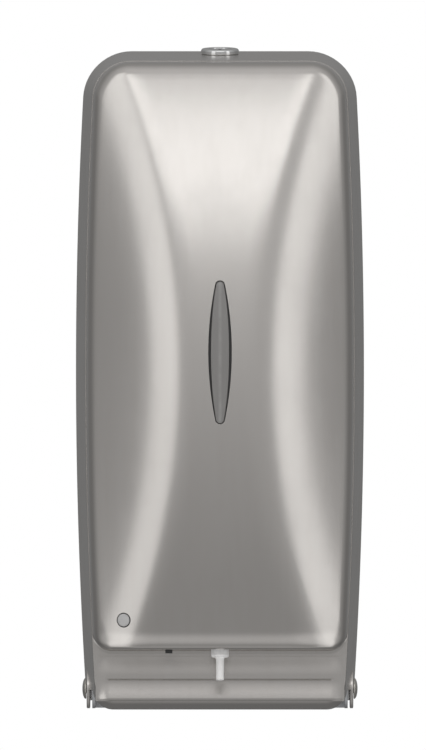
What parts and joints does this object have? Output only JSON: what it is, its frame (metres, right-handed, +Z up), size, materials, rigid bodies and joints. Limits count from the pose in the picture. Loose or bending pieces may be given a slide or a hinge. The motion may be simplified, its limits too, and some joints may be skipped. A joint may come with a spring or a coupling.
{
  "type": "wall mounted soap dispenser",
  "caption": "Tall barrel-sided stainless soap dispenser with a bowed face, oval sight window, keyed top lock, drip spout and hinged cover over a reservoir and pump.",
  "frame": {"origin": "on the wall, midway between the four wall bolts", "axes": "+Z up, -Y out of the wall towards the user, +X to the right as the user sees it"},
  "size_m": [0.145, 0.104, 0.3325],
  "materials": {
    "zinc_steel": "bright zinc plate",
    "stainless": "fine satin polish",
    "white_plastic": "moulded",
    "dark_plastic": "fine moulded texture",
    "tank_plastic": "translucent blow moulding",
    "brass": "turned",
    "black_rubber": "moulded",
    "hose": "clear silicone",
    "pump_plastic": "natural acetal",
    "motor_can": "drawn steel can",
    "board": "solder mask",
    "smoke_plastic": "smoked acrylic",
    "lamp_plastic": "tinted diffuser",
    "cell_wrap": "printed sleeve without lettering",
    "nickel": "nickel plate",
    "gear_plastic": "natural nylon",
    "chrome": "polished"
  },
  "bodies": {
    "chassis": {"back_plate": "zinc_steel", "lock_catch": "zinc_steel", "hinge_rivets": "stainless", "hinge_washers": "white_plastic", "pump_frame": "dark_plastic", "frame_screws": "zinc_steel", "reservoir": "tank_plastic", "reservoir_clip": "zinc_steel", "outlet_fitting": "brass", "outlet_oring": "black_rubber", "outlet_nut": "brass", "inlet_hose": "hose", "hose_clamps": "zinc_steel", "gear_case": "dark_plastic", "case_screws": "zinc_steel", "pump_housing": "pump_plastic", "pump_cover": "pump_plastic", "pump_screws": "zinc_steel", "shaft_seal": "black_rubber", "motor": "motor_can", "outlet_hose": "hose", "spout": "white_plastic", "check_valve": "black_rubber", "control_board": "board", "board_parts": "dark_plastic", "sensor_housing": "dark_plastic", "sensor_window": "dark_plastic", "ir_pair": "smoke_plastic", "indicator_lamp": "lamp_plastic", "battery_cradle": "dark_plastic", "cells": "cell_wrap", "battery_contacts": "nickel", "battery_springs": "nickel"},
    "cap": {"filler_cap": "white_plastic", "cap_gasket": "black_rubber"},
    "pump_drive": {"drive_gear": "gear_plastic"},
    "pump_idler": {"idler_gear": "gear_plastic"},
    "motor_shaft": {"motor_pinion": "brass"},
    "cover": {"front_cover": "stainless", "sight_window": "smoke_plastic", "window_frame": "dark_plastic", "indicator_lens": "lamp_plastic", "lens_clip": "dark_plastic", "lock_body": "chrome", "lock_nut": "nickel"},
    "lock": {"lock_plug": "chrome", "lock_cam": "zinc_steel", "cam_screw": "zinc_steel"}
  },
  "joints": [
    {"name": "cover_hinge", "type": "hinge", "parent": "chassis", "child": "cover", "pos_m": [0, -0.014, -0.1625], "axis": [1, 0, 0], "range_deg": [0, 95]},
    {"name": "lock_turn", "type": "hinge", "parent": "cover", "child": "lock", "pos_m": [0, -0.018, 0.1563], "axis": [0, -0.1059, 0.9944], "range_deg": [-90, 0]},
    {"name": "cap_turn", "type": "hinge", "parent": "chassis", "child": "cap", "pos_m": [0.031, -0.04, 0.1225], "axis": [0, 0, 1], "continuous": true},
    {"name": "pump_spin", "type": "hinge", "parent": "chassis", "child": "pump_drive", "pos_m": [0.006, -0.068, -0.0945], "axis": [0, -1, 0], "continuous": true},
    {"name": "idler_spin", "type": "hinge", "parent": "chassis", "child": "pump_idler", "pos_m": [-0.006, -0.068, -0.0945], "axis": [0, -1, 0], "continuous": true},
    {"name": "pinion_spin", "type": "hinge", "parent": "chassis", "child": "motor_shaft", "pos_m": [0.02263, -0.05, -0.0849], "axis": [0, -1, 0], "continuous": true}
  ],
  "couplings": [
    {"joint": "idler_spin", "follows": "pump_spin", "ratio": -1},
    {"joint": "pinion_spin", "follows": "pump_spin", "ratio": -3}
  ]
}
